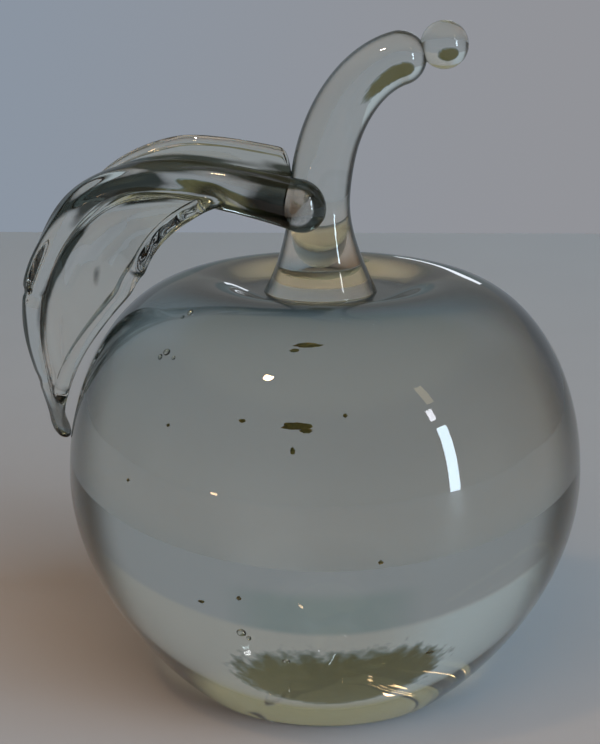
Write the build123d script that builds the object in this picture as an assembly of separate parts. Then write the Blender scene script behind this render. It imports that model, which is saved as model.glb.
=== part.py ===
from build123d import *
import math
import os

# Body: one solid gather, turned about the upright axis, with a ground foot.
body_diameter = 76.0
equator_height = 33.0
base_diameter = 40.0
base_flare = 39.0            # degrees between the table and the flank at its foot
base_edge_round = 0.8
crest_diameter = 36.0        # the highest ring, round the hollow
crest_height = 61.9
shoulder_fullness = 0.56     # share of the shoulder that the curve keeps to its sides
seat_depth = 1.9             # from the crest to the flat floor of the hollow
seat_margin = 0.3            # flat floor left clear round the stem's foot

# Stem: a drawn rod with a flared foot, bent to the right.
foot_offset = -0.7           # the foot was set down a little left of the axis
foot_diameter = 16.6
foot_flare_height = 14.0
stem_diameter = 8.8
stem_tip_diameter = 7.8
stem_rise = 33.8             # from the seat to the start of the rounded end
stem_reach = 11.1            # from the foot to the start of the rounded end
stem_end_tilt = 16.0         # degrees above level at the rounded end

# Knob: the bead left where the rod was cut off.
knob_diameter = 6.9
knob_seat_diameter = 3.2     # the neck where it is fused to the stem

# Leaf: a folded blade whose ridge arches to the left and droops.
leaf_knot_radius = 3.8       # round end pressed on the stem
leaf_knot_bite = 2.7         # how far the knot has sunk into the stem
leaf_knot_side = 60.0        # degrees round the stem, from straight left to the front
leaf_root_rise = 13.4        # up the stem, from the seat to the middle of the knot
leaf_heading = 16.0          # degrees to the back of straight left
leaf_overhang = 5.7          # farthest point of the ridge outside the body's widest ring
leaf_arch_rise = 2.6         # top of the ridge above the knot
leaf_drop = 36.2             # from the knot down to the tip
leaf_root_radius = 3.65
leaf_tip_radius = 1.1
leaf_bead_radius = 1.5       # drop at the tip
leaf_edge_radius = 0.8
leaf_front_width = 15.3
leaf_rear_width = 9.1
leaf_front_start = 0.05      # share of the ridge where the front half begins to spread
leaf_front_spread = 0.40     # share of the ridge over which it spreads
leaf_front_fall = 0.44       # share of the ridge over which it narrows to the tip
leaf_web_start = 0.08        # share of the ridge where the rear half is full
leaf_front_droop = 30.0      # degrees the front half hangs at the root
leaf_front_turn = 75.0       # degrees it has turned to at the droop
leaf_fold = 60.0             # degrees between the halves where they fold most
leaf_fold_start = 0.275      # share of the ridge where the fold begins
leaf_rear_raise = 6.0        # degrees the rear half is lifted before that
leaf_lean_root = 6.0         # degrees the sections lean at the root
leaf_lean_tip = -73.0        # and from the outer bend to the tip

body_radius = body_diameter / 2
base_radius = base_diameter / 2
crest_radius = crest_diameter / 2
seat_radius = foot_diameter / 2 + abs(foot_offset) + seat_margin
seat_height = crest_height - seat_depth
stem_tip_radius = stem_tip_diameter / 2
knob_seat_radius = knob_seat_diameter / 2
stem_cap_length = math.sqrt(stem_tip_radius ** 2 - knob_seat_radius ** 2)


def build_body():
    """Turned apple: foot, flank, shoulder and shallow hollow."""
    shoulder_height = crest_height - equator_height
    shoulder_width = body_radius - crest_radius
    flare = math.radians(base_flare)
    low_pull = equator_height / 3
    flank_foot = (base_radius + low_pull * math.cos(flare), 0, low_pull * math.sin(flare))
    flank = Bezier(
        (base_radius, 0, 0),
        flank_foot,
        (body_radius, 0, equator_height * 0.6),
        (body_radius, 0, equator_height),
    )
    shoulder = Bezier(
        (body_radius, 0, equator_height),
        (body_radius, 0, equator_height + shoulder_height * shoulder_fullness),
        (crest_radius + shoulder_width * shoulder_fullness, 0, crest_height),
        (crest_radius, 0, crest_height),
    )
    hollow_width = crest_radius - seat_radius
    hollow = Bezier(
        (crest_radius, 0, crest_height),
        (crest_radius - hollow_width * 0.5, 0, crest_height),
        (seat_radius + hollow_width * 0.4, 0, seat_height),
        (seat_radius, 0, seat_height),
    )
    floor = Line((seat_radius, 0, seat_height), (0, 0, seat_height))
    axis_line = Line((0, 0, seat_height), (0, 0, 0))
    foot = Line((0, 0, 0), (base_radius, 0, 0))
    outline = Face(Wire([flank, shoulder, hollow, floor, axis_line, foot]))
    body = revolve(outline, Axis.Z, 360)
    base_edge = body.edges().filter_by(GeomType.CIRCLE).sort_by(Axis.Z)[0]
    return fillet(base_edge, base_edge_round)


def stem_path():
    """Centre line of the stem, from the seat to the cut end."""
    lean = foot_offset - 0.02 * stem_reach
    tilt = math.radians(stem_end_tilt)
    return Spline(
        [
            (foot_offset, 0, seat_height),
            (lean, 0, seat_height + 0.32 * stem_rise),
            (foot_offset + 0.07 * stem_reach, 0, seat_height + 0.61 * stem_rise),
            (foot_offset + 0.34 * stem_reach, 0, seat_height + 0.82 * stem_rise),
            (foot_offset + 0.68 * stem_reach, 0, seat_height + 0.945 * stem_rise),
            (foot_offset + stem_reach, 0, seat_height + stem_rise),
        ],
        tangents=[(0, 0, 1), (math.cos(tilt), 0, math.sin(tilt))],
    )


def stem_radius(along, length):
    """Radius at a distance along the stem: flared foot, slow taper to the tip."""
    foot_share = max(0.0, 1 - along / foot_flare_height)
    flare = (foot_diameter - stem_diameter) / 2 * foot_share ** 1.9
    taper = (stem_diameter - stem_tip_diameter) / 2 * max(0.0, along / length * 2 - 1)
    return stem_diameter / 2 + flare - taper


def build_stem(path):
    """Rod lofted through rings on the path, closed by a round end cut flat for the knob."""
    length = path.length
    stations = [foot_flare_height * share for share in (0, 0.12, 0.28, 0.5, 0.78)]
    bend_start = foot_flare_height * 1.1
    stations += [bend_start + (length - bend_start) * step / 6 for step in range(7)]
    rings = []
    for along in stations:
        where = path.position_at(along, position_mode=PositionMode.LENGTH)
        facing = path.tangent_at(along, position_mode=PositionMode.LENGTH)
        ring_plane = Plane(origin=where, x_dir=(0, 1, 0), z_dir=facing)
        rings.append(ring_plane * Circle(stem_radius(along, length)))
    end = path.position_at(1)
    facing = path.tangent_at(1)
    for share in (0.35, 0.62, 0.82, 0.94, 1):
        beyond = stem_cap_length * share
        radius = math.sqrt(stem_tip_radius ** 2 - beyond ** 2)
        rings.append(Plane(origin=end + facing * beyond, x_dir=(0, 1, 0), z_dir=facing) * Circle(radius))
    return loft(rings)


def build_knob(path):
    """Ball cut flat where it is fused to the stem's end."""
    radius = knob_diameter / 2
    offset = math.sqrt(radius ** 2 - knob_seat_radius ** 2)
    facing = path.tangent_at(1)
    end = path.position_at(1) + facing * stem_cap_length
    ball = Pos(*(end + facing * offset)) * Sphere(radius)
    return split(ball, bisect_by=Plane(origin=end, z_dir=facing), keep=Keep.TOP)


def leaf_plane(path):
    """Upright plane of the ridge from the knot: x along the heading, y up, z to the back."""
    stem_middle = path.position_at(leaf_root_rise, position_mode=PositionMode.LENGTH)
    around = math.radians(leaf_knot_side)
    away = stem_radius(leaf_root_rise, path.length) + leaf_knot_radius - leaf_knot_bite
    turn = math.radians(leaf_heading)
    return Plane(
        origin=(stem_middle.X - away * math.cos(around), -away * math.sin(around), stem_middle.Z),
        x_dir=(-math.cos(turn), math.sin(turn), 0),
        z_dir=(math.sin(turn), math.cos(turn), 0),
    )


def leaf_ridge(plane):
    """Ridge line in the leaf's own plane: arch, outer bend and droop."""
    reach = (body_radius + leaf_overhang + plane.origin.X) / math.cos(math.radians(leaf_heading))
    return Spline(
        (0, 0),
        (0.39 * reach, leaf_arch_rise),
        (0.69 * reach, 0.45 * leaf_arch_rise),
        (0.895 * reach, -0.175 * leaf_drop),
        (reach, -0.50 * leaf_drop),
        (0.96 * reach, -0.80 * leaf_drop),
        (0.91 * reach, -leaf_drop),
    )


def ease(share):
    """Smooth step from 0 to 1."""
    share = min(1.0, max(0.0, share))
    return share * share * (3 - 2 * share)


def leaf_section(share):
    """Section across the ridge, in (back, out) axes: four curves from edge to ridge."""
    ridge = leaf_tip_radius + (leaf_root_radius - leaf_tip_radius) * (1 - share) ** 0.8
    front_angle = leaf_front_droop + (leaf_front_turn - leaf_front_droop) * ease(share / 0.75)
    fold = math.sin(math.pi * (share - leaf_fold_start) / (1 - leaf_fold_start))
    rear_angle = math.radians(front_angle - max(leaf_fold * fold, -leaf_rear_raise))
    front_angle = math.radians(front_angle)
    front = Vector(-math.cos(front_angle), -math.sin(front_angle))
    front_out = Vector(-math.sin(front_angle), math.cos(front_angle))
    rear = Vector(math.cos(rear_angle), math.sin(rear_angle))
    rear_out = Vector(-math.sin(rear_angle), math.cos(rear_angle))
    spread = ease((share - leaf_front_start) / leaf_front_spread)
    narrowing = ease((1 - share) / leaf_front_fall) ** 0.8
    front_width = leaf_front_width * spread * narrowing
    rear_width = leaf_rear_width * (1 - share) ** 0.8 * ease(share / leaf_web_start)
    crown = (front_out + rear_out).normalized()
    across = Vector(-crown.Y, crown.X)

    def half(width, along, out, side, toward):
        """Curve of one side of one half, from its edge to the ridge."""
        slim = min(1.0, width / (1.5 * ridge))
        reach = width + ridge + (leaf_edge_radius - ridge) * slim
        round_off = 0.55 * ridge + (1.3 * leaf_edge_radius - 0.55 * ridge) * slim
        top = crown * ridge * side
        edge = along * reach
        return Bezier(edge, edge + out * round_off * side, top + toward * (0.55 * ridge + 0.2 * width), top)

    return Wire([
        half(front_width, front, front_out, 1, across),
        half(rear_width, rear, rear_out, 1, -across),
        half(rear_width, rear, rear_out, -1, -across),
        half(front_width, front, front_out, -1, across),
    ])


def build_leaf(stem, path):
    """Blade lofted along the ridge, with a round root pressed on the stem."""
    plane = leaf_plane(path)
    ridge = leaf_ridge(plane)
    sections = []
    for share in [0, 0.07, 0.16, 0.27, 0.38, 0.5, 0.61, 0.72, 0.82, 0.91, 1]:
        where = ridge.position_at(share * ridge.length, position_mode=PositionMode.LENGTH)
        lean = leaf_lean_root + (leaf_lean_tip - leaf_lean_root) * ease((share - 0.05) / 0.65)
        facing = Vector(1, 0, 0).rotate(Axis.Z, lean)
        station = plane.location * Plane(origin=where, x_dir=(0, 0, 1), z_dir=-facing).location
        sections.append(station * Face(leaf_section(share)))
    blade = loft(sections)
    root = plane.from_local_coords(ridge.position_at(0))
    tip = plane.from_local_coords(ridge.position_at(1))
    leaf = blade + Pos(*root) * Sphere(leaf_knot_radius) + Pos(*tip) * Sphere(leaf_bead_radius)
    return leaf - stem


path = stem_path()
stem = build_stem(path)
pieces = {
    "apple_body": build_body(),
    "stem": stem,
    "stem_knob": build_knob(path),
    "leaf": build_leaf(stem, path),
}

os.makedirs("parts", exist_ok=True)
for name, piece in pieces.items():
    export_step(piece, "parts/" + name + ".step")
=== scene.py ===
"""Art glass apple: clear gathers of glass fused hot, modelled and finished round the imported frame."""
import math

import bmesh
import bpy
import numpy as np
from bpy.props import FloatProperty, FloatVectorProperty, PointerProperty
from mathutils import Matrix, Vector, noise
from mathutils.geometry import interpolate_bezier


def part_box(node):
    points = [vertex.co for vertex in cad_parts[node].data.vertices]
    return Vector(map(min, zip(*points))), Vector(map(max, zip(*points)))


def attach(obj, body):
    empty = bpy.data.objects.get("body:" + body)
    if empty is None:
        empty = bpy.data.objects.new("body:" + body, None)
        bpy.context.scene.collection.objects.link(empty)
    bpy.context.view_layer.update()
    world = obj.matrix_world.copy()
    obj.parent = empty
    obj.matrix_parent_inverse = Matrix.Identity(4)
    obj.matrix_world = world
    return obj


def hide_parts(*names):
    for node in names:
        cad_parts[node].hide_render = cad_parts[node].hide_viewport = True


bl_info = {
    "name": "Art Glass Apple",
    "version": (1, 0, 0),
    "blender": (4, 5, 0),
    "location": "View3D > Sidebar > Glass Apple",
    "description": "Models a solid glass apple with its stem, end bead and folded leaf",
    "category": "Object",
}

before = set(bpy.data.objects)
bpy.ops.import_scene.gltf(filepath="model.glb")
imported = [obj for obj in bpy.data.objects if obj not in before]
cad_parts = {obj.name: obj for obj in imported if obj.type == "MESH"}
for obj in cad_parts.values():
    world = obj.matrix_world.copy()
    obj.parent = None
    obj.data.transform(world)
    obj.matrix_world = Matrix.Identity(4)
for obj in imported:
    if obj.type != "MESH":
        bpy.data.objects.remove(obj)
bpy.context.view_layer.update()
body_low, body_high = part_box("apple_body")

MM = 0.001
AROUND = 128                 # points round the body and the stem
STEM_STEPS = 72              # rings along the rod
STEM_END_STEPS = 16          # rings on its rounded end
BEAD_STEPS = 48              # rings of the end bead
LEAF_AROUND = 256            # points round each section of the leaf
LEAF_STEPS = 120             # sections along its ridge
LEAF_END_STEPS = 13          # sections on the round at either end of it
SPAN_POINTS = 241            # points on each span of a smooth line
SAME_POINT = 1e-7            # metres: points nearer than this are one
LEAF_SAME_POINT = 2e-6       # the same on the leaf, whose cut leaves slivers
LEAF_TAPER = 0.8             # power by which the leaf thins and narrows along its ridge
SOFT_JOIN = 2.5              # power by which the leaf's ridge, plate and rim flow together
FLUTE_WIDTH = 2.4 * MM       # tool marks on the leaf
FLUTE_HEIGHT = 0.9 * MM
FLUTES_ALONG = 5.0
SHADE_STREAK_WIDTH = 3.2 * MM      # painted shade along the leaf's ridge, in long narrow marks
SHADE_STREAK_STRETCH = 4           # how much longer than wide they are
SHADE_STREAK_PICK = 7.8            # which of the noise's patterns they take
GLASS_IOR = 1.51             # soda-lime glass
GLASS_SLOT, WELD_SLOT, FOOT_SLOT = range(3)
SMOOTH = {"interpolation_type": "SMOOTHSTEP"}
RIDGE_FLOW = "ridge_flow"    # place along the leaf's ridge, shortened, and to its side and outwards
RIDGE_REACH = "ridge_reach"  # distance from the middle of the ridge, as a share of its thickness


def linear(hex_colour):
    """Turns an sRGB hex colour into the linear values that shaders use."""
    parts = [int(hex_colour[i:i + 2], 16) / 255 for i in (1, 3, 5)]
    return tuple(p / 12.92 if p <= 0.04045 else ((p + 0.055) / 1.055) ** 2.4 for p in parts)


def length(name, description, metres):
    """A size in metres for a property group."""
    return FloatProperty(name=name, description=description, default=metres, unit="LENGTH", precision=4)


def share(name, description, part):
    """A part of a whole, from 0 to 1, for a property group."""
    return FloatProperty(name=name, description=description, default=part, min=0, max=1, subtype="FACTOR")


def angle(name, description, degrees):
    """An angle for a property group."""
    turn = math.radians(degrees)
    return FloatProperty(name=name, description=description, default=turn, subtype="ANGLE")


def colour(name, description, hex_colour):
    """A colour for a property group, written as sRGB hex."""
    return FloatVectorProperty(
        name=name, description=description, default=linear(hex_colour), subtype="COLOR", min=0, max=1
    )


class BodySizes(bpy.types.PropertyGroup):
    """Sizes of the solid gather."""

    diameter: length("Diameter", "Widest ring of the body", body_high.x - body_low.x)
    equator_height: length("Equator height", "Height of the widest ring", 33.0 * MM)
    base_diameter: length("Base diameter", "Ground flat under the body", 40.0 * MM)
    base_flare: angle("Base flare", "Angle between the table and the flank at its foot", 39.0)
    base_round: length("Base round", "Width of the rounded edge of the ground flat", 0.28 * MM)
    crest_diameter: length("Crest diameter", "Highest ring, round the hollow", 36.0 * MM)
    crest_height: length("Crest height", "Height of the highest ring", body_high.z)
    fullness: share("Fullness", "Share of the shoulder that the curve keeps to its sides", 0.56)
    seat_depth: length("Seat depth", "From the crest down to the flat floor of the hollow", 1.9 * MM)
    seat_margin: length("Seat margin", "Flat floor left clear round the stem's foot", 0.3 * MM)


class StemSizes(bpy.types.PropertyGroup):
    """Sizes of the drawn rod and its end bead."""

    offset: length("Offset", "Foot's place to the right of the axis", -0.7 * MM)
    foot_diameter: length("Foot diameter", "Flared foot where it is fused to the body", 16.6 * MM)
    flare_height: length("Flare height", "Height over which the foot narrows", 14.0 * MM)
    diameter: length("Diameter", "Rod below its bend", 8.8 * MM)
    tip_diameter: length("Tip diameter", "Rod at its rounded end", 7.8 * MM)
    rise: length("Rise", "From the seat up to the rounded end", 33.8 * MM)
    reach: length("Reach", "From the foot across to the rounded end", 11.1 * MM)
    end_tilt: angle("End tilt", "Rise of the rod at its rounded end", 16.0)
    bead_diameter: length("Bead diameter", "Bead left where the rod was cut off", 6.9 * MM)
    bead_neck: length("Bead neck", "Neck where the bead is fused to the rod", 3.2 * MM)


class LeafSizes(bpy.types.PropertyGroup):
    """Sizes of the folded leaf."""

    knot_radius: length("Knot radius", "Round end pressed on the stem", 3.8 * MM)
    knot_bite: length("Knot bite", "How far the knot has sunk into the stem", 2.7 * MM)
    knot_side: angle("Knot side", "Place round the stem, from straight left to the front", 60.0)
    root_rise: length("Root rise", "From the seat up the stem to the middle of the knot", 13.4 * MM)
    heading: angle("Heading", "Turn of the ridge to the back of straight left", 16.0)
    overhang: length("Overhang", "Farthest point of the ridge outside the body", 5.7 * MM)
    arch_rise: length("Arch rise", "Top of the ridge above the knot", 2.6 * MM)
    drop: length("Drop", "From the knot down to the tip", 36.2 * MM)
    root_radius: length("Root radius", "Thickness of the ridge at the knot", 3.65 * MM)
    tip_radius: length("Tip radius", "Thickness of the ridge at the tip", 1.1 * MM)
    bead_radius: length("Bead radius", "Drop of glass at the tip", 1.5 * MM)
    edge_radius: length("Edge radius", "Reach of the blade beyond its width", 0.8 * MM)
    front_width: length("Front width", "Widest reach of the front half", 15.3 * MM)
    rear_width: length("Rear width", "Widest reach of the rear half", 9.1 * MM)
    front_rim: length("Front rim", "Radius of the rounded rim of the front half", 1.05 * MM)
    rear_rim: length("Rear rim", "Radius of the rounded rim of the rear half", 0.7 * MM)
    web: length("Web", "Half the thickness of the pressed glass between ridge and rim", 0.95 * MM)
    front_start: share("Front start", "Where along the ridge the front half begins to spread", 0.05)
    front_spread: share("Front spread", "Length of ridge over which it spreads", 0.40)
    front_fall: share("Front fall", "Length of ridge over which it narrows to the tip", 0.44)
    web_start: share("Rear start", "Where along the ridge the rear half is full", 0.08)
    front_droop: angle("Front droop", "Hang of the front half at the root", 30.0)
    front_turn: angle("Front turn", "Hang of the front half at the droop", 75.0)
    fold: angle("Fold", "Angle between the halves where they fold most", 60.0)
    fold_start: share("Fold start", "Where along the ridge the fold begins", 0.275)
    rear_raise: angle("Rear raise", "Lift of the rear half before the fold", 6.0)
    lean_root: angle("Lean at root", "Lean of the sections at the root", 6.0)
    lean_tip: angle("Lean at tip", "Lean of the sections from the outer bend to the tip", -73.0)


class GlassLooks(bpy.types.PropertyGroup):
    """Colours of the glass, of the shade painted at its edges, and of what is caught in it."""

    tint: colour("Tint", "Colour that is left of white light after the way through the body", "#e1e3dc")
    thin_tint: colour("Thin tint", "Colour that is left of it after the stem or the leaf", "#f8f9f4")
    # painted shade: the glass is darkened towards this colour where the view grazes it
    edge: colour("Edge", "Colour that is left of it where the view grazes the glass", "#1d231f")
    speck: colour("Speck", "Ash caught in the glass", "#b3a35e")


class StageLooks(bpy.types.PropertyGroup):
    """Table, backdrop and light."""

    board: colour("Board", "Painted table top", "#8e8d8e")
    # painted shade: a glowing sheet behind the table that only the glass shows, and its paler rim
    shade_card: colour("Card", "Felt that stands behind the table", "#54543b")
    shade_card_rim: colour("Card rim", "Frayed rim of the felt", "#66757a")
    back_edge: length("Back edge", "Far edge of the table, behind the axis", 347.0 * MM)


class GlassApple(bpy.types.PropertyGroup):
    """All settings of the apple."""

    body: PointerProperty(type=BodySizes)
    stem: PointerProperty(type=StemSizes)
    leaf: PointerProperty(type=LeafSizes)
    looks: PointerProperty(type=GlassLooks)
    stage: PointerProperty(type=StageLooks)


def chosen():
    """The settings in the open scene."""
    return bpy.context.scene.glass_apple


class SmoothLine:
    """Cubic line of even curvature through a few points, read by the distance along it."""

    def __init__(self, points, start=None, end=None):
        knots = np.array([tuple(p) for p in points])
        gaps = np.linalg.norm(np.diff(knots, axis=0), axis=1)
        count = len(knots)
        weights = np.zeros((count, count))
        sums = np.zeros((count, 3))
        for i in range(1, count - 1):
            before, after = gaps[i - 1], gaps[i]
            weights[i, i - 1:i + 2] = 1 / before, 2 / before + 2 / after, 1 / after
            behind, ahead = knots[i] - knots[i - 1], knots[i + 1] - knots[i]
            sums[i] = 3 * behind / before ** 2 + 3 * ahead / after ** 2
        ends = (
            (0, 1, start, knots[1] - knots[0], gaps[0]),
            (-1, -2, end, knots[-1] - knots[-2], gaps[-1]),
        )
        for row, beside, fixed, span, gap in ends:
            weights[row, row] = 2 if fixed is None else 1
            weights[row, beside] = 1 if fixed is None else 0
            sums[row] = 3 * span / gap if fixed is None else tuple(fixed)
        slopes = np.linalg.solve(weights, sums)
        line = []
        for i in range(count - 1):
            pull = gaps[i] / 3
            span = interpolate_bezier(
                Vector(knots[i]),
                Vector(knots[i] + slopes[i] * pull),
                Vector(knots[i + 1] - slopes[i + 1] * pull),
                Vector(knots[i + 1]),
                SPAN_POINTS,
            )
            line += span if i == 0 else span[1:]
        steps = [(b - a).length for a, b in zip(line, line[1:])]
        self.lengths = np.concatenate([[0], np.cumsum(steps)])
        self.length = float(self.lengths[-1])
        self.points = np.array([tuple(p) for p in line])

    def at(self, distance):
        """Point on the line."""
        return Vector([float(np.interp(distance, self.lengths, self.points[:, i])) for i in range(3)])

    def heading(self, distance):
        """Direction of the line, read over a short way before and after the point."""
        reach = self.length * 0.004
        low = max(0.0, distance - reach)
        high = min(self.length, distance + reach)
        return (self.at(high) - self.at(low)).normalized()


def ease(part):
    """Smooth step from 0 to 1."""
    part = min(1.0, max(0.0, part))
    return part * part * (3 - 2 * part)


def add(tree, kind, settings=None, links=None):
    """Adds a shader node, sets its options and plain sockets, and links the rest.

    A link comes from a socket, or from a node, which stands for its first output.
    """
    node = tree.nodes.new("ShaderNode" + kind)
    for key, value in (settings or {}).items():
        if isinstance(key, int) or key in node.inputs:
            node.inputs[key].default_value = value
        else:
            setattr(node, key, value)
    for key, source in (links or {}).items():
        socket = source.outputs[0] if isinstance(source, bpy.types.Node) else source
        tree.links.new(socket, node.inputs[key])
    return node


def new_material(name):
    """A material and its empty node tree."""
    material = bpy.data.materials.new(name)
    material.use_nodes = True
    material.node_tree.nodes.clear()
    return material, material.node_tree


def painted_ridge_shade(tree, depth, darkens):
    """Paints shade over more of the leaf's ridge, in long marks that run along it, for the dark its clear
    glass shows.

    The mesh says how far each point is from the ridge. Near it the painted shade begins much earlier.
    """
    away = add(tree, "Attribute", {"attribute_name": RIDGE_REACH})
    ridge_shade = add(
        tree,
        "MapRange",
        {"From Min": 1.25, "From Max": 1.9, "To Min": -0.72, "To Max": darkens - 0.45},
        {"Value": away.outputs["Fac"]},
    )
    flow = add(tree, "Attribute", {"attribute_name": RIDGE_FLOW})
    pattern = {"noise_dimensions": "4D", "W": SHADE_STREAK_PICK, "Scale": 1 / SHADE_STREAK_WIDTH}
    shade_streaks = add(
        tree,
        "TexNoise",
        {**pattern, "Detail": 0.0, "Distortion": 0.6},
        {"Vector": flow.outputs["Vector"]},
    )
    first = add(tree, "Math", {"operation": "MULTIPLY_ADD", 1: 1.5}, {0: shade_streaks, 2: ridge_shade})
    last = add(tree, "Math", {"operation": "ADD", 1: 0.26}, {0: first})
    tree.links.new(first.outputs[0], depth.inputs["From Min"])
    tree.links.new(last.outputs[0], depth.inputs["From Max"])


def glass_skin(name, tint, darkens, wave, swell, ridge=False):
    """Clear glass with painted shade where the view grazes it, and slow waves of a given length and
    height.
    """
    material, tree = new_material(name)
    place = add(tree, "TexCoord").outputs["Object"]
    waves = add(tree, "TexNoise", {"Scale": 1 / wave, "Detail": 1.0, "Roughness": 0.4}, {"Vector": place})
    bump = add(tree, "Bump", {"Strength": 0.1, "Distance": swell}, {"Height": waves})
    # painted shade, for the dark surroundings that the rims of solid glass show: depth below is how far
    # the colour goes towards the edge colour, not the glass's thickness
    grazing = add(tree, "LayerWeight", {"Blend": 0.5})
    depth = add(
        tree,
        "MapRange",
        {**SMOOTH, "From Min": darkens, "From Max": darkens + 0.28},
        {"Value": grazing.outputs["Facing"]},
    )
    # painted shade in long marks along the leaf's ridge
    if ridge:
        painted_ridge_shade(tree, depth, darkens)
    # the painted edge shade fades out near the table, because there the edges show the lit table top
    axes = add(tree, "SeparateXYZ", None, {"Vector": place})
    upper = add(
        tree,
        "MapRange",
        {**SMOOTH, "From Min": 4 * MM, "From Max": 52 * MM},
        {"Value": axes.outputs["Z"]},
    )
    amount = add(tree, "Math", {"operation": "MULTIPLY"}, {0: depth, 1: upper})
    clear = add(
        tree, "Mix", {"data_type": "RGBA", 6: (*tint, 1), 7: (*chosen().looks.edge, 1)}, {0: amount}
    )
    skin = add(
        tree,
        "BsdfPrincipled",
        {"Roughness": 0.0, "IOR": GLASS_IOR, "Transmission Weight": 1.0},
        {"Base Color": clear.outputs[2], "Normal": bump},
    )
    add(tree, "OutputMaterial", None, {"Surface": skin})
    return material


def fire_polished_glass(name):
    """Soda-lime glass cooled from the flame: liquid-smooth, a straw tint from its depth, painted shade at
    its edges.
    """
    return glass_skin(name, chosen().looks.tint, darkens=0.47, wave=22 * MM, swell=0.6 * MM)


def drawn_rod_glass(name):
    """Rod pulled hot from the gather: thin enough to look colourless, faintly waved along its length."""
    return glass_skin(name, chosen().looks.thin_tint, darkens=0.36, wave=9 * MM, swell=0.5 * MM)


def pressed_leaf_glass(name):
    """Leaf pinched and pulled with jacks: full of small flutes, with painted shade where it turns away and
    along its ridge.
    """
    tint = chosen().looks.thin_tint
    return glass_skin(name, tint, darkens=0.30, wave=6 * MM, swell=2.2 * MM, ridge=True)


def flame_rounded_glass(name):
    """Bead left where the rod was burnt off: a ball of clear glass, bright right up to its edge."""
    return glass_skin(name, chosen().looks.thin_tint, darkens=0.72, wave=5 * MM, swell=0.2 * MM)


def air_seed_wall(name):
    """Wall of a tiny bubble of trapped air: it bends what lies behind it and catches the light."""
    return glass_skin(name, chosen().looks.thin_tint, darkens=0.30, wave=0.6 * MM, swell=0.1 * MM)


def caught_ash(name):
    """Flecks of furnace ash drawn out in the hot glass: olive and brown, crumbly and without shine."""
    material, tree = new_material(name)
    pale = chosen().looks.speck
    burnt = [part * 0.4 for part in pale]
    place = add(tree, "TexCoord").outputs["Object"]
    grain = add(tree, "TexNoise", {"Scale": 1 / (0.5 * MM), "Detail": 3.0}, {"Vector": place})
    tone = add(tree, "Mix", {"data_type": "RGBA", 6: (*burnt, 1), 7: (*pale, 1)}, {0: grain})
    bump = add(tree, "Bump", {"Strength": 0.6, "Distance": 0.1 * MM}, {"Height": grain})
    skin = add(
        tree,
        "BsdfPrincipled",
        {"Roughness": 0.9, "Specular IOR Level": 0.1},
        {"Base Color": tone.outputs[2], "Normal": bump},
    )
    add(tree, "OutputMaterial", None, {"Surface": skin})
    return material


def ground_foot_glass(name):
    """Foot ground flat on a wheel and rubbed down: the table shows through it as a dull patch."""
    material, tree = new_material(name)
    place = add(tree, "TexCoord").outputs["Object"]
    grit = add(tree, "TexNoise", {"Scale": 1 / (0.8 * MM), "Detail": 3.0}, {"Vector": place})
    dull = add(tree, "MapRange", {"To Min": 0.24, "To Max": 0.46}, {"Value": grit})
    bump = add(tree, "Bump", {"Strength": 0.05, "Distance": 0.02 * MM}, {"Height": grit})
    skin = add(
        tree,
        "BsdfPrincipled",
        {"Base Color": (1, 1, 1, 1), "IOR": GLASS_IOR, "Transmission Weight": 1.0},
        {"Roughness": dull, "Normal": bump},
    )
    add(tree, "OutputMaterial", None, {"Surface": skin})
    return material


def hot_weld(name):
    """Where two gathers were fused there is no skin left, so light goes straight on."""
    material, tree = new_material(name)
    skin = add(
        tree,
        "BsdfPrincipled",
        {"Base Color": (1, 1, 1, 1), "Roughness": 0.0, "IOR": 1.0, "Transmission Weight": 1.0},
    )
    add(tree, "OutputMaterial", None, {"Surface": skin})
    return material


MAKERS = {
    "fire_polished_soda_glass": fire_polished_glass,
    "drawn_rod_soda_glass": drawn_rod_glass,
    "pressed_leaf_soda_glass": pressed_leaf_glass,
    "flame_rounded_soda_glass": flame_rounded_glass,
    "hot_weld": hot_weld,
    "ground_foot_soda_glass": ground_foot_glass,
}


def finishes(skin):
    """The materials of a fused piece, in the order of the slots, made once and shared."""
    names = (skin, "hot_weld", "ground_foot_soda_glass")
    return [bpy.data.materials.get(name) or MAKERS[name](name) for name in names]


def to_mesh(bm, name, materials):
    """Ends the modelling of a shape: a mesh with its materials."""
    mesh = bpy.data.meshes.new(name)
    bm.to_mesh(mesh)
    bm.free()
    for material in materials:
        mesh.materials.append(material)
    return mesh


def put(name, data):
    """Puts a mesh, a lamp or the camera in the scene, at the origin."""
    item = bpy.data.objects.new(name, data)
    bpy.context.scene.collection.objects.link(item)
    return item


def finish_piece(bm, name, node, skin):
    """Turns a modelled piece into an object that stands for a CAD node."""
    bmesh.ops.recalc_face_normals(bm, faces=bm.faces)
    for face in bm.faces:
        face.smooth = face.material_index == GLASS_SLOT
    piece = put(name, to_mesh(bm, name, finishes(skin)))
    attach(piece, "root")
    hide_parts(node)
    return piece


def loop_edges(verts):
    """Edges of a fresh closed ring, in the order of its points."""
    return list(dict.fromkeys(edge for vert in verts for edge in vert.link_edges))


def loft(bm, rings):
    """Skins a row of closed rings, each joined to the next; gives the edges of the first and last."""
    loops = []
    for points in rings:
        verts = bmesh.ops.create_circle(bm, segments=len(points), radius=1.0)["verts"]
        for vert, point in zip(verts, points):
            vert.co = point
        loops.append(loop_edges(verts))
    for near, far in zip(loops, loops[1:]):
        bmesh.ops.bridge_loops(bm, edges=near + far)
    return loops[0], loops[-1]


def cap(bm, edges, slot):
    """Closes a ring with one flat face."""
    face = bmesh.ops.edgeloop_fill(bm, edges=edges)["faces"][0]
    face.material_index = slot
    return face


def circle_points(centre, facing, radius):
    """Points of a ring square to the stem's line, all rings starting on the same side."""
    side = Vector((0, 1, 0))
    up = facing.cross(side)
    turns = [2 * math.pi * i / AROUND for i in range(AROUND)]
    return [centre + (side * math.cos(turn) + up * math.sin(turn)) * radius for turn in turns]


def seat_height():
    """Flat floor of the hollow, on which the stem stands."""
    body = chosen().body
    return body.crest_height - body.seat_depth


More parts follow.
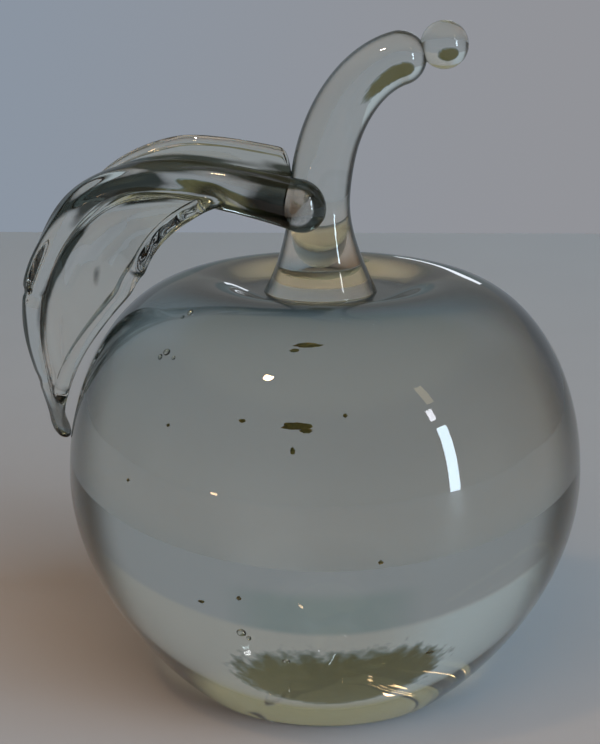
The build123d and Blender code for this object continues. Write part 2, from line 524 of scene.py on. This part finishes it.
def stem_line():
    """Centre line of the stem, from the seat to its rounded end."""
    stem = chosen().stem
    shares = ((0, 0), (-0.02, 0.32), (0.07, 0.61), (0.34, 0.82), (0.68, 0.945), (1, 1))
    points = [(stem.offset + x * stem.reach, 0, seat_height() + z * stem.rise) for x, z in shares]
    return SmoothLine(points, (0, 0, 1), (math.cos(stem.end_tilt), 0, math.sin(stem.end_tilt)))


def stem_radius(along, whole):
    """Radius at a distance along the stem: flared foot, then a slow taper over its upper half."""
    stem = chosen().stem
    sweep = 1.9
    flare = (stem.foot_diameter - stem.diameter) / 2 * max(0.0, 1 - along / stem.flare_height) ** sweep
    taper = (stem.diameter - stem.tip_diameter) / 2 * max(0.0, 2 * along / whole - 1)
    return stem.diameter / 2 + flare - taper


def stem_rings():
    """Rings of the stem from its foot, where they lie closest, to the flat where the bead is fused on."""
    stem = chosen().stem
    line = stem_line()
    crowding = 1.15
    rings = []
    for i in range(STEM_STEPS + 1):
        along = line.length * (i / STEM_STEPS) ** crowding
        rings.append(circle_points(line.at(along), line.heading(along), stem_radius(along, line.length)))
    end, facing = line.at(line.length), line.heading(line.length)
    radius = stem.tip_diameter / 2
    last = math.acos(stem.bead_neck / stem.tip_diameter)
    for i in range(1, STEM_END_STEPS + 1):
        turn = last * i / STEM_END_STEPS
        centre = end + facing * radius * math.sin(turn)
        rings.append(circle_points(centre, facing, radius * math.cos(turn)))
    return rings


def leaf_frame():
    """Root point and axes of the leaf: along its heading, up, and to the back."""
    leaf = chosen().leaf
    line = stem_line()
    middle = line.at(leaf.root_rise)
    away = stem_radius(leaf.root_rise, line.length) + leaf.knot_radius - leaf.knot_bite
    root = middle + Vector((-math.cos(leaf.knot_side), -math.sin(leaf.knot_side), 0)) * away
    along = Vector((-math.cos(leaf.heading), math.sin(leaf.heading), 0))
    back = Vector((math.sin(leaf.heading), math.cos(leaf.heading), 0))
    return root, along, Vector((0, 0, 1)), back


def leaf_ridge(root):
    """Ridge line in the leaf's own plane: arch, outer bend and droop."""
    leaf = chosen().leaf
    reach = (chosen().body.diameter / 2 + leaf.overhang + root.x) / math.cos(leaf.heading)
    return SmoothLine([
        (0, 0, 0),
        (0.39 * reach, leaf.arch_rise, 0),
        (0.69 * reach, 0.45 * leaf.arch_rise, 0),
        (0.895 * reach, -0.175 * leaf.drop, 0),
        (reach, -0.50 * leaf.drop, 0),
        (0.96 * reach, -0.80 * leaf.drop, 0),
        (0.91 * reach, -leaf.drop, 0),
    ])


def crimp(part):
    """Thickness left of the ridge where the jacks nipped it on its way to the tip."""
    thinned, begins, over = 0.10, 0.69, 0.03
    nips = ((0.705, 0.20), (0.895, 0.22))  # place along the ridge, share taken off it
    nip_width = 0.010
    left = 1 - thinned * ease((part - begins) / over)
    for spot, depth in nips:
        left -= depth * math.exp(-((part - spot) / nip_width) ** 2)
    return left


def leaf_half(width, ridge, web, rim, fold, part, turn, face):
    """One side of half a section, as (along, out) points from its rim to the crown of the ridge."""
    samples, fold_samples = 160, 24
    reach = max(ridge, width + rim)
    along = reach * np.cos(np.linspace(0, math.pi / 2, samples))
    beyond = (along - width) / rim
    rounding = np.clip(1 - beyond ** 2, 0, None)
    fade = np.where(along > width, rounding, 1.0)
    rod = np.clip(ridge ** 2 - along ** 2, 0, None) ** (SOFT_JOIN / 2)
    bead = rim ** SOFT_JOIN * rounding ** (SOFT_JOIN / 2)
    plate = (web * fade ** 0.5) ** SOFT_JOIN
    out = (rod + plate + bead * ease(width / ridge - 1)) ** (1 / SOFT_JOIN)
    crown = (ridge ** SOFT_JOIN + web ** SOFT_JOIN) ** (1 / SOFT_JOIN)
    if fold > 0:
        over = np.linspace(0, -fold, fold_samples)[1:]
        along = np.concatenate([along, crown * np.sin(over)])
        out = np.concatenate([out, crown * np.cos(over)])
    else:
        hair = 1.02
        kept = along > crown * math.sin(-fold) * hair
        along = np.append(along[kept], crown * math.sin(-fold))
        out = np.append(out[kept], crown * math.cos(fold))
    across = turn * (along - along[-1]) / FLUTE_WIDTH
    flute = np.array([noise.noise((a, part * FLUTES_ALONG, face)) for a in across])
    # the flutes fade towards the rim, and are full only where the half stands well clear of the ridge
    grown = ease((width / ridge - 0.7) / 1.6)
    faded, thinnest = 0.78, 0.45
    settled = np.clip(1 - along / (faded * reach), 0, 1) * (1 - (1 - grown) * np.clip(along / ridge, 0, 1))
    out = np.maximum(out + FLUTE_HEIGHT * flute * settled, thinnest * out)
    steps = np.concatenate([[0], np.cumsum(np.hypot(np.diff(along), np.diff(out)))])
    even = np.linspace(0, steps[-1], LEAF_AROUND // 4 + 1)
    return list(zip(np.interp(even, steps, along), np.interp(even, steps, out)))


def ridge_radius(part):
    """Radius of the ridge, which thins from the root to the tip."""
    leaf = chosen().leaf
    return leaf.tip_radius + (leaf.root_radius - leaf.tip_radius) * (1 - part) ** LEAF_TAPER


def leaf_section(part):
    """Points of a section across the ridge, in (back, out) axes, from the front rim over the ridge."""
    leaf = chosen().leaf
    ridge = ridge_radius(part)
    turned, soft_turn = 0.75, math.radians(7)  # where the front half has turned; rounding of the fold
    front_angle = leaf.front_droop + (leaf.front_turn - leaf.front_droop) * ease(part / turned)
    folding = math.sin(math.pi * (part - leaf.fold_start) / (1 - leaf.fold_start))
    bent, flat = leaf.fold * folding, -leaf.rear_raise
    rear_angle = front_angle - (bent + flat + math.hypot(bent - flat, soft_turn)) / 2
    cos, sin = math.cos, math.sin
    front = Vector((-cos(front_angle), -sin(front_angle), 0))
    front_out = Vector((-sin(front_angle), cos(front_angle), 0))
    rear = Vector((cos(rear_angle), sin(rear_angle), 0))
    rear_out = Vector((-sin(rear_angle), cos(rear_angle), 0))
    spread = ease((part - leaf.front_start) / leaf.front_spread)
    narrowing = ease((1 - part) / leaf.front_fall) ** LEAF_TAPER
    front_width = leaf.front_width * spread * narrowing
    rear_width = leaf.rear_width * (1 - part) ** LEAF_TAPER * ease(part / leaf.web_start)
    fold = (front_angle - rear_angle) / 2
    rod = ridge * crimp(part)
    web = min(leaf.web, 0.6 * ridge)
    # width, rim, direction along and out of the half, its outer (1) or inner face, front (-1) or rear
    halves = (
        (front_width, leaf.front_rim, front, front_out, 1, -1),
        (rear_width, leaf.rear_rim, rear, rear_out, 1, 1),
        (rear_width, leaf.rear_rim, rear, rear_out, -1, 1),
        (front_width, leaf.front_rim, front, front_out, -1, -1),
    )
    points = []
    for width, rim, along, out, side, turn in halves:
        rim = min(rim, 0.9 * ridge)
        inner = max(0.0, width + leaf.edge_radius - rim)
        half = leaf_half(inner, rod, web, rim, fold * side, part, turn, 7 * side)
        curve = [along * u + out * v * side for u, v in half]
        points += (curve[::-1] if turn == side else curve)[:-1]
    return points


def leaf_rings():
    """Rings of the leaf from its round root to the drop at its tip."""
    leaf = chosen().leaf
    root, along, up, back = leaf_frame()
    ridge = leaf_ridge(root)
    lean_start, lean_span, knot_fade = 0.05, 0.65, 0.06
    rings = []

    def ring(part, beyond=0.0, scale=1.0):
        """One section, set on the ridge or beyond its end, and scaled about it."""
        lean = leaf.lean_root + (leaf.lean_tip - leaf.lean_root) * ease((part - lean_start) / lean_span)
        spot = ridge.at(part * ridge.length)
        centre = root + along * spot.x + up * spot.y
        run = ridge.heading(part * ridge.length)
        centre += (along * run.x + up * run.y) * beyond
        out = along * -math.sin(lean) + up * math.cos(lean)
        rings.append([centre + (back * p.x + out * p.y) * scale for p in leaf_section(part)])

    swell = leaf.knot_radius / leaf.root_radius
    for i in range(1, LEAF_END_STEPS):
        turn = math.pi / 2 * (1 - i / LEAF_END_STEPS)
        ring(0.0, -leaf.knot_radius * math.sin(turn), swell * math.cos(turn))
    bead = leaf.bead_radius / leaf.tip_radius - 1
    for i in range(LEAF_STEPS + 1):
        part = i / LEAF_STEPS
        left = (1 - part) * ridge.length / leaf.bead_radius
        knot = (swell - 1) * max(0.0, 1 - part / knot_fade) ** 2
        ring(part, 0.0, 1 + knot + bead * math.exp(-left ** 2))
    for i in range(1, LEAF_END_STEPS):
        turn = math.pi / 2 * i / LEAF_END_STEPS
        ring(1.0, leaf.bead_radius * math.sin(turn), (1 + bead) * math.cos(turn))
    return rings


def plain_mesh(rings, name, slot):
    """Closed skin over rings, with every face in one material slot."""
    bm = bmesh.new()
    for end in loft(bm, rings):
        cap(bm, end, slot)
    bmesh.ops.recalc_face_normals(bm, faces=bm.faces)
    for face in bm.faces:
        face.material_index = slot
    return to_mesh(bm, name, finishes("fire_polished_soda_glass"))


def carved(mesh, tool, operation):
    """The mesh cut by another one, or what the two share; the tool's faces keep their own slot."""
    made = [put("carving", data) for data in (mesh, tool)]
    cut = made[0].modifiers.new("cut", "BOOLEAN")
    cut.object = made[1]
    cut.operation = operation
    cut.solver = "EXACT"
    cut.material_mode = "INDEX"
    depsgraph = bpy.context.evaluated_depsgraph_get()
    result = bpy.data.meshes.new_from_object(made[0].evaluated_get(depsgraph))
    for piece in made:
        bpy.data.objects.remove(piece)
    return result


def body_outline():
    """Half outline of the body from the rim of its foot over the crest to the floor of the hollow."""
    body, stem = chosen().body, chosen().stem
    radius = body.diameter / 2
    base = body.base_diameter / 2
    crest = body.crest_diameter / 2
    seat = stem.foot_diameter / 2 + abs(stem.offset) + body.seat_margin
    rise = body.crest_height - body.equator_height
    hollow = crest - seat
    pull = body.equator_height / 3
    spans = (
        (
            (base, 0),
            (base + pull * math.cos(body.base_flare), pull * math.sin(body.base_flare)),
            (radius, body.equator_height * 0.6),
            (radius, body.equator_height),
            64,
        ),
        (
            (radius, body.equator_height),
            (radius, body.equator_height + rise * body.fullness),
            (crest + (radius - crest) * body.fullness, body.crest_height),
            (crest, body.crest_height),
            72,
        ),
        (
            (crest, body.crest_height),
            (crest - hollow * 0.5, body.crest_height),
            (seat + hollow * 0.4, seat_height()),
            (seat, seat_height()),
            32,
        ),
    )
    outline = []
    for *knots, count in spans:
        curve = interpolate_bezier(*[Vector((x, 0, z)) for x, z in knots], count)
        outline += curve[1:] if outline else curve
    return outline


def under_skin(x, z, depth):
    """A place inside the front of the body, at a depth behind its skin."""
    flank = [point for point in body_outline() if point.x >= chosen().body.crest_diameter / 2]
    radius = float(np.interp(z, [point.z for point in flank], [point.x for point in flank])) - depth
    return Vector((x, -math.sqrt(radius ** 2 - x ** 2), z))


def lump(bm, centre, size, rough):
    """A small uneven lump: a ball pulled to a size, with dents that depend only on its place."""
    dents = 4.5
    for vert in bmesh.ops.create_icosphere(bm, subdivisions=3, radius=0.5)["verts"]:
        dent = 1 + rough * noise.noise(vert.co * dents + centre / MM)
        vert.co = centre + Vector([part * reach for part, reach in zip(vert.co * dent, size)])


class GLASS_APPLE_OT_body(bpy.types.Operator):
    """Models the solid gather with its hollow and ground foot"""

    bl_idname = "glass_apple.body"
    bl_label = "Body"

    def execute(self, context):
        """Spins the half outline, then closes the seat and the foot."""
        body, stem = chosen().body, chosen().stem
        bm = bmesh.new()
        verts = [bm.verts.new(point) for point in body_outline()]
        edges = [bm.edges.new(pair) for pair in zip(verts, verts[1:])]
        geom, full = verts + edges, 2 * math.pi
        bmesh.ops.spin(
            bm, geom=geom, axis=(0, 0, 1), cent=(0, 0, 0), angle=full, steps=AROUND, use_merge=True
        )
        bmesh.ops.remove_doubles(bm, verts=bm.verts, dist=SAME_POINT)
        rims = [edge for edge in bm.edges if edge.is_boundary]
        foot_rim = [edge for edge in rims if edge.verts[0].co.z < MM]
        cap(bm, foot_rim, FOOT_SLOT)
        weld = cap(bm, [edge for edge in rims if edge.verts[0].co.z > MM], WELD_SLOT)
        margin = bmesh.ops.inset_individual(bm, faces=[weld], thickness=body.seat_margin)["faces"]
        for face in margin:
            face.material_index = GLASS_SLOT
        for vert in weld.verts:
            away = Vector((vert.co.x, vert.co.y, 0)).normalized()
            vert.co = Vector((stem.offset, 0, seat_height())) + away * stem.foot_diameter / 2
        width = body.base_round
        bmesh.ops.bevel(
            bm, geom=foot_rim, offset=width, affect="EDGES", segments=4, profile=0.5, material=-1
        )
        finish_piece(bm, "glass_body", "apple_body", "fire_polished_soda_glass")
        return {"FINISHED"}


class GLASS_APPLE_OT_stem(bpy.types.Operator):
    """Models the drawn rod with its flared foot and rounded end"""

    bl_idname = "glass_apple.stem"
    bl_label = "Stem"

    def execute(self, context):
        """Skins the rod, then marks its flat ends and the patch where the leaf's knot is fused to it."""
        rod = plain_mesh(stem_rings(), "rod", GLASS_SLOT)
        knot = plain_mesh(leaf_rings(), "knot", WELD_SLOT)
        bm = bmesh.new()
        for operation in ("DIFFERENCE", "INTERSECT"):
            part = carved(rod, knot, operation)
            known = set(bm.faces)
            bm.from_mesh(part)
            fresh = [face for face in bm.faces if face not in known]
            inside = [face for face in fresh if face.material_index == WELD_SLOT]
            if operation == "INTERSECT":
                for face in fresh:
                    face.material_index = WELD_SLOT
            bmesh.ops.delete(bm, geom=inside, context="FACES")
        bmesh.ops.remove_doubles(bm, verts=bm.verts, dist=SAME_POINT)
        for face in bm.faces:
            if len(face.verts) == AROUND:
                face.material_index = WELD_SLOT
        finish_piece(bm, "glass_stem", "stem", "drawn_rod_soda_glass")
        return {"FINISHED"}


class GLASS_APPLE_OT_bead(bpy.types.Operator):
    """Models the bead at the end of the stem"""

    bl_idname = "glass_apple.bead"
    bl_label = "End bead"

    def execute(self, context):
        """Skins a ball from its flat neck to its far side."""
        stem = chosen().stem
        line = stem_line()
        facing = line.heading(line.length)
        neck = math.asin(stem.bead_neck / stem.bead_diameter)
        tip = stem.tip_diameter / 2
        start = line.at(line.length) + facing * math.sqrt(tip ** 2 - (stem.bead_neck / 2) ** 2)
        radius = stem.bead_diameter / 2
        centre = start + facing * radius * math.cos(neck)
        rings = []
        for i in range(BEAD_STEPS):
            turn = neck + (math.pi - neck) * i / BEAD_STEPS
            middle = centre - facing * radius * math.cos(turn)
            rings.append(circle_points(middle, facing, radius * math.sin(turn)))
        bm = bmesh.new()
        first, last = loft(bm, rings)
        cap(bm, first, WELD_SLOT)
        far = list(dict.fromkeys(vert for edge in last for vert in edge.verts))
        bmesh.ops.pointmerge(bm, verts=far, merge_co=centre + facing * radius)
        finish_piece(bm, "glass_bead", "stem_knob", "flame_rounded_soda_glass")
        return {"FINISHED"}


def mark_ridge(mesh):
    """Writes to each point of the leaf where it lies along the ridge and how far from its middle."""
    root, along, up, back = leaf_frame()
    ridge = leaf_ridge(root)
    parts = np.linspace(0, 1, 200)
    spots = [ridge.at(part * ridge.length) for part in parts]
    middle = np.array([tuple(root + along * spot.x + up * spot.y) for spot in spots])
    thickness = np.array([ridge_radius(part) for part in parts])
    reach = mesh.attributes.new(RIDGE_REACH, "FLOAT", "POINT")
    flow = mesh.attributes.new(RIDGE_FLOW, "FLOAT_VECTOR", "POINT")
    for vert in mesh.vertices:
        far = np.linalg.norm(middle - vert.co, axis=1)
        nearest = int(np.argmin(far))
        aside = (vert.co - Vector(middle[nearest])).dot(back)
        outward = math.sqrt(max(0.0, far[nearest] ** 2 - aside ** 2))
        reach.data[vert.index].value = float(far[nearest] / thickness[nearest])
        flow.data[vert.index].vector = (parts[nearest] * ridge.length / SHADE_STREAK_STRETCH, aside, outward)


class GLASS_APPLE_OT_leaf(bpy.types.Operator):
    """Models the arched, folded leaf"""

    bl_idname = "glass_apple.leaf"
    bl_label = "Leaf"

    def execute(self, context):
        """Skins the leaf and cuts its root where it is fused to the stem."""
        blade = plain_mesh(leaf_rings(), "blade", GLASS_SLOT)
        rod = plain_mesh(stem_rings(), "rod", WELD_SLOT)
        bm = bmesh.new()
        bm.from_mesh(carved(blade, rod, "DIFFERENCE"))
        bmesh.ops.remove_doubles(bm, verts=bm.verts, dist=LEAF_SAME_POINT)
        piece = finish_piece(bm, "glass_leaf", "leaf", "pressed_leaf_soda_glass")
        mark_ridge(piece.data)
        return {"FINISHED"}


class GLASS_APPLE_OT_inclusions(bpy.types.Operator):
    """Models the flecks of ash and the bubbles that the glass has closed over"""

    bl_idname = "glass_apple.inclusions"
    bl_label = "Seeds and ash"

    def execute(self, context):
        """Sets each fleck and bubble a little way behind the front skin of the body."""
        # place to the right of the axis, height above the table, width and height, in millimetres
        flecks = (
            (-2.2, 58.2, 3.4, 0.7), (-4.0, 57.6, 1.2, 0.5), (-3.6, 49.1, 3.6, 0.9),
            (-2.4, 48.6, 1.6, 0.6), (-4.1, 46.1, 0.6, 0.9), (-10.7, 49.3, 0.8, 0.5),
            (2.7, 50.4, 0.5, 0.5), (-20.7, 47.3, 0.5, 0.4), (-26.3, 38.9, 0.5, 0.4),
            (-16.3, 24.1, 0.8, 0.5), (-11.2, 25.6, 0.6, 0.6), (7.4, 31.4, 0.6, 0.5),
            (14.3, 15.8, 1.0, 0.6),
        )
        bubbles = (
            (-21.4, 55.6, 1.1, 1.0), (-22.3, 54.9, 0.7, 0.9), (-20.4, 55.2, 0.6, 0.6),
            (-18.6, 60.0, 0.8, 1.3), (-19.6, 59.4, 0.5, 0.8), (-11.0, 20.0, 1.4, 1.2),
            (-10.0, 19.2, 0.7, 0.8), (-5.0, 15.6, 1.1, 0.7),
        )
        for name, finish, maker, rows, rough, depth in (
            ("ash_flecks", "caught_ash", caught_ash, flecks, 0.55, 1.6 * MM),
            ("air_seeds", "air_seed_wall", air_seed_wall, bubbles, 0.12, 1.2 * MM),
        ):
            bm = bmesh.new()
            for x, z, wide, high in rows:
                size = Vector((wide, min(wide, high), high)) * MM
                lump(bm, under_skin(x * MM, z * MM, depth), size, rough)
            for face in bm.faces:
                face.smooth = True
            piece = put(name, to_mesh(bm, name, [maker(finish)]))
            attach(piece, "root")
        return {"FINISHED"}


def painted_board():
    """Table top in worn eggshell paint: a dull sheen and a faint cloudiness from wiping."""
    material, tree = new_material("painted_board")
    board = chosen().stage.board
    rubbed = [part * 0.96 for part in board]
    fresh = [min(1, part * 1.04) for part in board]
    place = add(tree, "TexCoord").outputs["Object"]
    clouds = add(tree, "TexNoise", {"Scale": 1 / (45 * MM), "Detail": 3.0}, {"Vector": place})
    tone = add(tree, "Mix", {"data_type": "RGBA", 6: (*rubbed, 1), 7: (*fresh, 1)}, {0: clouds})
    paint = add(
        tree,
        "BsdfPrincipled",
        {"Roughness": 0.5, "Specular IOR Level": 0.35},
        {"Base Color": tone.outputs[2]},
    )
    add(tree, "OutputMaterial", None, {"Surface": paint})
    return material


def hide(item, *rays):
    """Keeps a lamp or a stage object out of what some rays see."""
    for ray in rays:
        setattr(item, "visible_" + ray, False)


def aim(item, place, facing):
    """Moves a lamp or the camera to a place and turns it to face a direction."""
    item.location = place
    item.rotation_mode = "QUATERNION"
    item.rotation_quaternion = facing.to_track_quat("-Z", "Y")


def softbox(name, place, target, width, height, power, tint):
    """A rectangular lamp that faces a point."""
    data = bpy.data.lights.new(name, "AREA")
    data.shape = "RECTANGLE"
    data.size = width
    data.size_y = height
    data.energy = power
    data.color = linear(tint)
    lamp = put(name, data)
    aim(lamp, place, target - place)
    return lamp


def around(turn, rise, distance):
    """A place round the apple: degrees right of the front, degrees above the table, and metres away."""
    turn, rise = math.radians(turn), math.radians(rise)
    flat = math.cos(rise)
    return Vector((math.sin(turn) * flat, -math.cos(turn) * flat, math.sin(rise))) * distance


def painted_shade_emitter(middle, half):
    """Painted shade that glows in a ragged oval, given by its middle and half sizes, mottled, with a paler
    bluish rim.
    """
    material, tree = new_material("painted_shade_emitter")
    stage = chosen().stage
    place = add(tree, "TexCoord").outputs["Object"]
    shade_mottle = add(tree, "TexNoise", {"Scale": 1 / (14 * MM), "Detail": 4.0}, {"Vector": place})
    off = add(tree, "VectorMath", {"operation": "SUBTRACT", 1: middle}, {0: place})
    part = add(tree, "VectorMath", {"operation": "DIVIDE", 1: half}, {0: off})
    reach = add(tree, "VectorMath", {"operation": "LENGTH"}, {0: part})
    ragged_reach = add(tree, "Math", {"operation": "MULTIPLY_ADD", 1: 0.5}, {0: shade_mottle, 2: reach.outputs["Value"]})
    kept = add(tree, "MapRange", {**SMOOTH, "From Min": 1.20, "From Max": 1.02}, {"Value": ragged_reach})
    tone = add(tree, "MapRange", {"To Min": 0.75, "To Max": 1.2}, {"Value": shade_mottle})
    shade_rim_share = add(tree, "MapRange", {"From Min": 0.97, "From Max": 1.16}, {"Value": ragged_reach})
    shade_colour = add(
        tree, "Mix", {"data_type": "RGBA", 6: (*stage.shade_card, 1), 7: (*stage.shade_card_rim, 1)}, {0: shade_rim_share}
    )
    # the sheet glows at a set tone: painted shade, not a lamp
    shade_sheet = add(tree, "Emission", None, {"Color": shade_colour.outputs[2], "Strength": tone})
    gap = add(tree, "BsdfTransparent")
    edge = add(tree, "MixShader", None, {0: kept, 1: gap, 2: shade_sheet})
    add(tree, "OutputMaterial", None, {"Surface": edge})
    return material


def painted_shade_card():
    """An emissive sheet behind the table, seen only through the glass, that paints a dark olive patch of
    shade into it.
    """
    middle, half = Vector((-0.018, 0.345, 0.172)), Vector((0.142, 1.0, 0.097))
    bm = bmesh.new()
    for vert in bmesh.ops.create_grid(bm, x_segments=1, y_segments=1, size=1.0)["verts"]:
        vert.co = middle + Vector((vert.co.x * half.x, 0, vert.co.y * half.z))
    shade_card = put("painted_shade_card", to_mesh(bm, "painted_shade_card", [painted_shade_emitter(middle, half)]))
    hide(shade_card, "camera", "diffuse", "glossy", "shadow")


def quiet_room(scene):
    """World round the table: a wall behind it, a paler strip high up, a dim room in front and beside it.

    The camera sees the wall, the glass sees the whole room, and all else is lit by one even colour.
    """
    world = bpy.data.worlds.new("quiet_room")
    scene.world = world
    world.use_nodes = True
    tree = world.node_tree
    tree.nodes.clear()
    path = add(tree, "LightPath")
    way = add(tree, "TexCoord")
    axes = add(tree, "SeparateXYZ", None, {"Vector": way.outputs["Generated"]})
    aside = add(tree, "Math", {"operation": "ABSOLUTE"}, {0: axes.outputs["X"]})
    sides = {
        "right": axes.outputs["X"],
        "back": axes.outputs["Y"],
        "up": axes.outputs["Z"],
        "aside": aside.outputs[0],
    }
    # each colour lies over the ones before it: the side, where it begins and where it is full
    layers = (
        ("#929398", ("right", -0.25, 0.15)),  # the wall turns greyer to the right
        ("#898f96", ("up", -2.0, -1.0)),  # everywhere: the wall in the glass
        ("#7b878b", ("aside", 0.30, 0.12), ("up", 0.00, 0.05)),  # its lower middle
        ("#989a9a", ("up", 0.145, 0.172)),  # the paler strip
        ("#a1adb5", ("up", 0.145, 0.172), ("right", -0.10, -0.40)),  # its bluish left
        ("#3a3a36", ("aside", 0.62, 0.85)),  # dim corners
        ("#2e2d2a", ("back", 0.40, 0.05)),  # dim room beside the apple
        ("#85857f", ("back", 0.05, -0.20), ("up", 0.40, 0.0)),  # its lower half in front
        ("#8f8d72", ("up", 0.60, 0.76)),  # ceiling
    )
    seen = add(tree, "RGB").outputs[0]
    seen.default_value = (*linear("#8a95a3"), 1)
    views = []
    for hex_colour, *limits in layers:
        amount = None
        for side, low, high in limits:
            step = add(
                tree, "MapRange", {**SMOOTH, "From Min": low, "From Max": high}, {"Value": sides[side]}
            )
            if amount is not None:
                step = add(tree, "Math", {"operation": "MULTIPLY"}, {0: amount, 1: step})
            amount = step
        mixed = add(tree, "Mix", {"data_type": "RGBA", 7: (*linear(hex_colour), 1)}, {0: amount, 6: seen})
        seen = mixed.outputs[2]
        views.append(seen)
    wall = add(tree, "Background", None, {"Color": views[0]})
    room = add(tree, "Background", None, {"Color": views[-1]})
    ambient = add(tree, "Background", {"Color": (*linear("#5c646a"), 1)})
    glassy = add(
        tree,
        "Math",
        {"operation": "MAXIMUM"},
        {0: path.outputs["Is Glossy Ray"], 1: path.outputs["Is Transmission Ray"]},
    )
    first = add(tree, "Math", {"operation": "LESS_THAN", 1: 0.5}, {0: path.outputs["Diffuse Depth"]})
    shown = add(tree, "Math", {"operation": "MULTIPLY"}, {0: glassy, 1: first})
    lit = add(tree, "MixShader", None, {"Fac": shown, 1: ambient, 2: room})
    whole = add(tree, "MixShader", None, {"Fac": path.outputs["Is Camera Ray"], 1: lit, 2: wall})
    add(tree, "OutputWorld", None, {"Surface": whole})


def table_top():
    """A painted board under the apple, up to the edge behind it."""
    spread = 1.6
    clearance = 0.15 * MM
    back_edge = chosen().stage.back_edge
    depth = back_edge + spread
    bm = bmesh.new()
    bmesh.ops.create_grid(bm, x_segments=1, y_segments=1, size=1.0)
    bmesh.ops.scale(bm, vec=(spread, depth / 2, 1), verts=bm.verts)
    bmesh.ops.translate(bm, vec=(0, back_edge - depth / 2, -clearance), verts=bm.verts)
    table = put("table_top", to_mesh(bm, "table_top", [painted_board()]))


def lamps():
    """Window and lamps that show in the glass, and the soft light of the room, which doesn't."""
    apple = Vector((0, 0, 35 * MM))
    far = 1.57
    # degrees to the right of the front, degrees up, width and height in metres, watts, colour
    for name, turn, rise, width, height, power, tint in (
        ("window", 57.0, 13.0, 0.137, 0.725, 6.4, "#d8eeff"),
        ("window_top", 54.7, 32.3, 0.08, 0.15, 0.65, "#f2f4ff"),
        ("window_blind", 58.0, 42.5, 0.10, 0.27, 0.22, "#ffe9b8"),
        ("ceiling_lamp", -42.5, 58.6, 0.085, 0.085, 3.6, "#ffd4a2"),
        ("far_lamp", -47.3, -0.5, 0.08, 0.08, 0.45, "#ffd4a2"),
    ):
        softbox(name, around(turn, rise, far), apple, width, height, power, tint)
    back = softbox("back_window", around(172.5, 10.5, far), apple, 0.26, 0.07, 0.14, "#eef4ff")
    hide(back, "transmission", "diffuse")
    room = softbox("room_light", around(-10.0, 46.0, 0.90), apple, 1.0, 0.8, 7.8, "#ffc78c")
    daylight = bpy.data.lights.new("daylight", "SUN")
    daylight.energy = 4.8
    daylight.angle = math.radians(70)
    daylight.color = linear("#afe1ff")
    sky = put("daylight", daylight)
    aim(sky, (0, 0, 0), apple - around(50.0, 28.0, 1.0))
    # stands in for the light that the body gathers on the table under itself
    gathered = bpy.data.lights.new("gathered_light", "SPOT")
    gathered.energy = 2.3
    gathered.spot_size = math.radians(13.2)
    gathered.spot_blend = 0.6
    gathered.color = linear("#fff0c8")
    gathered.use_shadow = False
    glow = put("gathered_light", gathered)
    glow.location = (0, 0.010, 0.25)
    for lamp in (room, sky, glow):
        hide(lamp, "glossy", "transmission")


class GLASS_APPLE_OT_stage(bpy.types.Operator):
    """Sets the table, the backdrop, the light and the camera"""

    bl_idname = "glass_apple.stage"
    bl_label = "Stage"

    def execute(self, context):
        """Makes the stage objects, the world and the camera."""
        scene = context.scene
        table_top()
        painted_shade_card()
        quiet_room(scene)
        lamps()

        data = bpy.data.cameras.new("camera")
        focal, picture_height = 1961.0, 744.0  # in the picture's own dots
        data.sensor_width = 36.0
        data.lens = data.sensor_width * focal / picture_height
        data.clip_start = 0.01
        camera = put("camera", data)
        pitch, yaw = math.radians(15.26), math.radians(0.86)
        flat = math.cos(pitch)
        ahead = Vector((-math.sin(yaw) * flat, math.cos(yaw) * flat, -math.sin(pitch)))
        aim(camera, (0.0005, -0.280, 0.124), ahead)
        scene.camera = camera

        scene.view_settings.view_transform = "Standard"
        scene.cycles.use_denoising = True
        scene.cycles.max_bounces = 32
        scene.cycles.transmission_bounces = 32
        scene.cycles.transparent_max_bounces = 32
        return {"FINISHED"}


class GLASS_APPLE_PT_panel(bpy.types.Panel):
    """Lists the steps and the settings of the apple"""

    bl_idname = "GLASS_APPLE_PT_panel"
    bl_label = "Glass Apple"
    bl_space_type = "VIEW_3D"
    bl_region_type = "UI"
    bl_category = "Glass Apple"

    def draw(self, context):
        """Draws a button for each step, then the sizes and colours."""
        for operator in OPERATORS:
            self.layout.operator(operator.bl_idname)
        apple = context.scene.glass_apple
        for group in (apple.body, apple.stem, apple.leaf, apple.looks, apple.stage):
            box = self.layout.box()
            for name in group.bl_rna.properties.keys():
                if name not in ("rna_type", "name"):
                    box.prop(group, name)


OPERATORS = (
    GLASS_APPLE_OT_stage,
    GLASS_APPLE_OT_body,
    GLASS_APPLE_OT_stem,
    GLASS_APPLE_OT_bead,
    GLASS_APPLE_OT_leaf,
    GLASS_APPLE_OT_inclusions,
)
GROUPS = (BodySizes, StemSizes, LeafSizes, GlassLooks, StageLooks, GlassApple)
CLASSES = (*GROUPS, *OPERATORS, GLASS_APPLE_PT_panel)


def register():
    """Adds the classes and the scene's settings."""
    for item in CLASSES:
        bpy.utils.register_class(item)
    bpy.types.Scene.glass_apple = PointerProperty(type=GlassApple)


def unregister():
    """Takes them away again."""
    del bpy.types.Scene.glass_apple
    for item in reversed(CLASSES):
        bpy.utils.unregister_class(item)


def main():
    """Builds the apple on its stage."""
    register()
    bpy.ops.glass_apple.stage()
    bpy.ops.glass_apple.body()
    bpy.ops.glass_apple.stem()
    bpy.ops.glass_apple.bead()
    bpy.ops.glass_apple.leaf()
    bpy.ops.glass_apple.inclusions()


if __name__ == "__main__":
    main()
